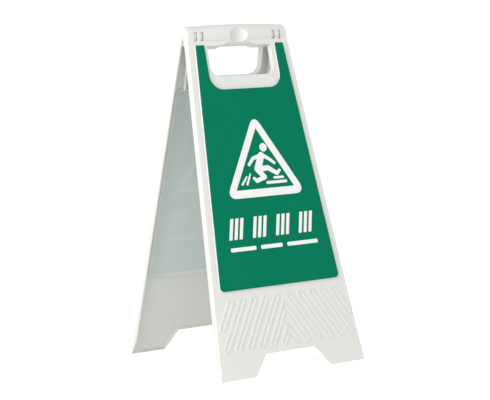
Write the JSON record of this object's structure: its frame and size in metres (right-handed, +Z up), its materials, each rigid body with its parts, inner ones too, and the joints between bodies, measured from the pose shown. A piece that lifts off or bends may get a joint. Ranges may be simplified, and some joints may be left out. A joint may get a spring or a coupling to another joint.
{
  "type": "wet floor sign",
  "caption": "Folding A-frame wet floor sign: flared moulded leaves with side flanges and ribbed feet, printed labels, a hand hole and a carrying barrel that holds the hinge.",
  "frame": {"origin": "on the floor, midway between the leaves, under the middle of the hinge axis, with the sign standing open", "axes": "+Z up, -Y out of the front leaf towards the reader, +X to the reader's right along the hinge"},
  "size_m": [0.3, 0.334, 0.6078],
  "materials": {
    "leaf": "white injection-moulded polypropylene with a fine matt texture",
    "label": "green printed vinyl film with white symbols",
    "pin": "grey moulded nylon"
  },
  "bodies": {
    "front": {"front_leaf": "leaf", "front_label": "label", "left_hinge_pin": "pin", "right_hinge_pin": "pin"},
    "rear": {"rear_leaf": "leaf", "rear_label": "label"}
  },
  "joints": [
    {"name": "fold", "type": "hinge", "parent": "front", "child": "rear", "pos_m": [0, 0, 0.588], "axis": [-1, 0, 0], "range_deg": [0, 29]}
  ]
}
